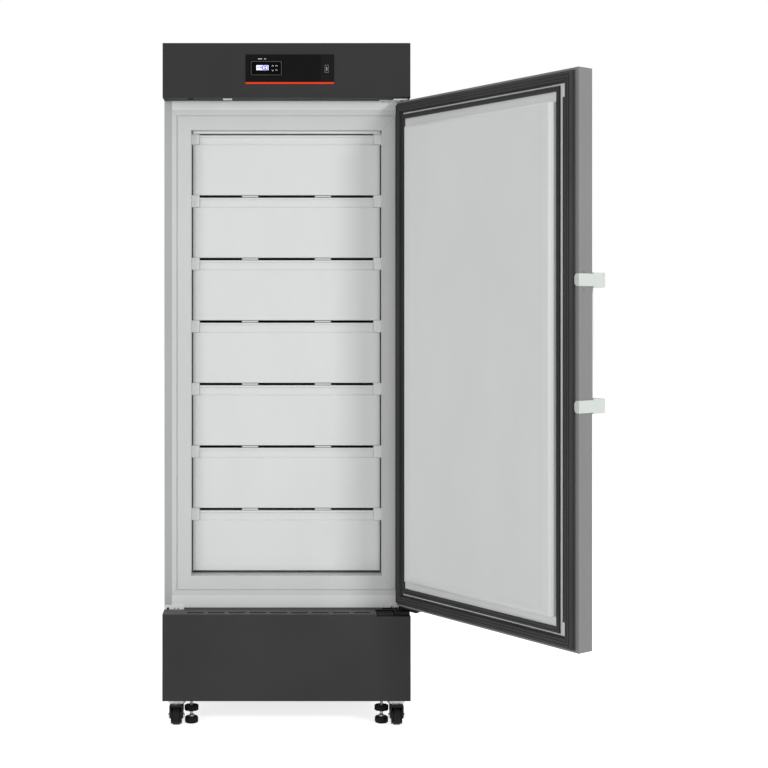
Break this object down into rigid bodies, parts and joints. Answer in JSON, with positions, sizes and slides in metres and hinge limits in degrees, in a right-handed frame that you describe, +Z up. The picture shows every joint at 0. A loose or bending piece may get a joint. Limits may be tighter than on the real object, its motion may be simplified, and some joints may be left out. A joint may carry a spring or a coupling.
{
  "type": "upright laboratory freezer",
  "caption": "Upright laboratory freezer with its door swung open: white moulded drawers, dark control box with a digital controller and orange accent, dark base on casters and levelling feet.",
  "frame": {"origin": "on the floor under the middle of the cabinet's footprint", "axes": "+Z up, front and drawer travel towards -Y, +X to the right seen from the front; door hinge pivots on the right"},
  "size_m": [1.1059, 1.1868, 1.878],
  "materials": {
    "case_white": "satin light grey powder coat",
    "foam": "open cell polyurethane",
    "liner_white": "moulded plastic, soft sheen",
    "drawer_white": "moulded plastic, soft sheen",
    "shelf_steel": "white coated evaporator shelf",
    "box_dark": "dark grey fine textured powder coat",
    "overlay_dark": "printed smoked film",
    "accent_orange": "orange film",
    "controller_black": "fine matt plastic",
    "window_black": "clear black window",
    "key_grey": "soft key",
    "zinc": "zinc plated",
    "board_green": "solder mask",
    "sensor_white": "fine matt plastic",
    "base_dark": "dark grey fine textured powder coat",
    "chassis_grey": "dark powder coat",
    "compressor_black": "black enamel",
    "coil": "mill finish fins",
    "black_plastic": "moulded black nylon",
    "hinge_light": "plated steel",
    "hinge_black": "black coated steel",
    "door_grey": "satin grey powder coat",
    "gasket_grey": "soft magnetic gasket",
    "handle_white": "light grey moulding",
    "caster_black": "black stamped steel",
    "tyre_black": "polyurethane tread",
    "foot_rubber": "foot rubber"
  },
  "bodies": {
    "cabinet": {"outer_case": "case_white", "back_panel": "case_white", "insulation": "foam", "inner_liner": "liner_white", "breaker_strip": "liner_white", "face_frame": "liner_white", "cold_shelves": "shelf_steel", "drawer_guides": "drawer_white", "control_fascia": "box_dark", "control_housing": "box_dark", "display_overlay": "overlay_dark", "accent_strip": "accent_orange", "controller_case": "controller_black", "controller_window": "window_black", "usb_port": "zinc", "control_board": "board_green", "door_sensor": "sensor_white", "base_panel": "base_dark", "base_chassis": "chassis_grey", "compressor": "compressor_black", "condenser": "coil", "fan_shroud": "black_plastic", "cord_gland": "black_plastic", "upper_hinge": "hinge_light", "lower_hinge": "hinge_black", "corner_bracket": "hinge_light", "caster_plates": "zinc"},
    "door": {"door_skin": "door_grey", "door_core": "foam", "door_liner": "liner_white", "door_gaskets": "gasket_grey", "door_bushes": "black_plastic", "handle_brackets": "handle_white", "handle_bar": "handle_white"},
    "lock_barrel": {"lock_barrel": "zinc"},
    "lock_bolt": {"lock_bolt": "zinc"},
    "fan": {"fan_rotor": "black_plastic"},
    "drawer_1": {"drawer_1": "drawer_white"},
    "drawer_2": {"drawer_2": "drawer_white"},
    "drawer_3": {"drawer_3": "drawer_white"},
    "drawer_4": {"drawer_4": "drawer_white"},
    "drawer_5": {"drawer_5": "drawer_white"},
    "drawer_6": {"drawer_6": "drawer_white"},
    "drawer_7": {"drawer_7": "drawer_white"},
    "button_1": {"button_1": "key_grey"},
    "fork_1": {"caster_fork_1": "caster_black"},
    "wheel_1": {"caster_wheel_1": "tyre_black"},
    "button_2": {"button_2": "key_grey"},
    "fork_2": {"caster_fork_2": "caster_black"},
    "wheel_2": {"caster_wheel_2": "tyre_black"},
    "button_3": {"button_3": "key_grey"},
    "fork_3": {"caster_fork_3": "caster_black"},
    "wheel_3": {"caster_wheel_3": "tyre_black"},
    "button_4": {"button_4": "key_grey"},
    "fork_4": {"caster_fork_4": "caster_black"},
    "wheel_4": {"caster_wheel_4": "tyre_black"},
    "foot_pad_left": {"foot_pad_left": "foot_rubber"},
    "foot_stem_left": {"foot_stem_left": "zinc"},
    "foot_pad_right": {"foot_pad_right": "foot_rubber"},
    "foot_stem_right": {"foot_stem_right": "zinc"}
  },
  "joints": [
    {"name": "door_hinge", "type": "hinge", "parent": "cabinet", "child": "door", "pos_m": [0.3208, -0.3259, 1], "axis": [0, 0, 1], "range_deg": [-125.95, 0]},
    {"name": "drawer_1_slide", "type": "slide", "parent": "cabinet", "child": "drawer_1", "axis": [0, -1, 0], "range_m": [0, 0.38]},
    {"name": "drawer_2_slide", "type": "slide", "parent": "cabinet", "child": "drawer_2", "axis": [0, -1, 0], "range_m": [0, 0.38]},
    {"name": "drawer_3_slide", "type": "slide", "parent": "cabinet", "child": "drawer_3", "axis": [0, -1, 0], "range_m": [0, 0.38]},
    {"name": "drawer_4_slide", "type": "slide", "parent": "cabinet", "child": "drawer_4", "axis": [0, -1, 0], "range_m": [0, 0.38]},
    {"name": "drawer_5_slide", "type": "slide", "parent": "cabinet", "child": "drawer_5", "axis": [0, -1, 0], "range_m": [0, 0.38]},
    {"name": "drawer_6_slide", "type": "slide", "parent": "cabinet", "child": "drawer_6", "axis": [0, -1, 0], "range_m": [0, 0.38]},
    {"name": "drawer_7_slide", "type": "slide", "parent": "cabinet", "child": "drawer_7", "axis": [0, -1, 0], "range_m": [0, 0.38]},
    {"name": "button_1_press", "type": "slide", "parent": "cabinet", "child": "button_1", "axis": [0, 1, 0], "range_m": [0, 0.0006], "stiffness_N_per_m": 400},
    {"name": "button_2_press", "type": "slide", "parent": "cabinet", "child": "button_2", "axis": [0, 1, 0], "range_m": [0, 0.0006], "stiffness_N_per_m": 400},
    {"name": "button_3_press", "type": "slide", "parent": "cabinet", "child": "button_3", "axis": [0, 1, 0], "range_m": [0, 0.0006], "stiffness_N_per_m": 400},
    {"name": "button_4_press", "type": "slide", "parent": "cabinet", "child": "button_4", "axis": [0, 1, 0], "range_m": [0, 0.0006], "stiffness_N_per_m": 400},
    {"name": "fork_1_swivel", "type": "hinge", "parent": "cabinet", "child": "fork_1", "pos_m": [-0.304, -0.305, 0.056], "axis": [0, 0, 1], "range_deg": [-180, 0]},
    {"name": "wheel_1_spin", "type": "hinge", "parent": "fork_1", "child": "wheel_1", "pos_m": [-0.304, -0.324, 0.025], "axis": [1, 0, 0], "continuous": true},
    {"name": "fork_2_swivel", "type": "hinge", "parent": "cabinet", "child": "fork_2", "pos_m": [0.304, -0.305, 0.056], "axis": [0, 0, 1], "range_deg": [0, 180]},
    {"name": "wheel_2_spin", "type": "hinge", "parent": "fork_2", "child": "wheel_2", "pos_m": [0.304, -0.324, 0.025], "axis": [1, 0, 0], "continuous": true},
    {"name": "fork_3_swivel", "type": "hinge", "parent": "cabinet", "child": "fork_3", "pos_m": [-0.304, 0.245, 0.056], "axis": [0, 0, 1], "continuous": true},
    {"name": "wheel_3_spin", "type": "hinge", "parent": "fork_3", "child": "wheel_3", "pos_m": [-0.304, 0.226, 0.025], "axis": [1, 0, 0], "continuous": true},
    {"name": "fork_4_swivel", "type": "hinge", "parent": "cabinet", "child": "fork_4", "pos_m": [0.304, 0.245, 0.056], "axis": [0, 0, 1], "continuous": true},
    {"name": "wheel_4_spin", "type": "hinge", "parent": "fork_4", "child": "wheel_4", "pos_m": [0.304, 0.226, 0.025], "axis": [1, 0, 0], "continuous": true},
    {"name": "foot_left_rise", "type": "slide", "parent": "cabinet", "child": "foot_pad_left", "axis": [0, 0, 1], "range_m": [0, 0.008]},
    {"name": "foot_left_turn", "type": "hinge", "parent": "foot_pad_left", "child": "foot_stem_left", "pos_m": [-0.264, -0.303, 0.04], "axis": [0, 0, 1], "range_deg": [0, 1900]},
    {"name": "foot_right_rise", "type": "slide", "parent": "cabinet", "child": "foot_pad_right", "axis": [0, 0, 1], "range_m": [0, 0.008]},
    {"name": "foot_right_turn", "type": "hinge", "parent": "foot_pad_right", "child": "foot_stem_right", "pos_m": [0.264, -0.303, 0.04], "axis": [0, 0, 1], "range_deg": [0, 1900]},
    {"name": "fan_spin", "type": "hinge", "parent": "cabinet", "child": "fan", "pos_m": [-0.1, -0.1713, 0.1685], "axis": [0, 1, 0], "continuous": true},
    {"name": "lock_turn", "type": "hinge", "parent": "door", "child": "lock_barrel", "pos_m": [0.68363, -0.78516, 1.681], "axis": [-0.8095, -0.5871, 0], "range_deg": [0, 90]},
    {"name": "lock_bolt_rise", "type": "slide", "parent": "door", "child": "lock_bolt", "axis": [0, 0, 1], "range_m": [0, 0.016]}
  ],
  "couplings": [
    {"joint": "foot_left_rise", "follows": "foot_left_turn", "m_per_rad": 0.00023873},
    {"joint": "foot_right_rise", "follows": "foot_right_turn", "m_per_rad": 0.00023873},
    {"joint": "lock_bolt_rise", "follows": "lock_turn", "m_per_rad": 0.010185}
  ]
}
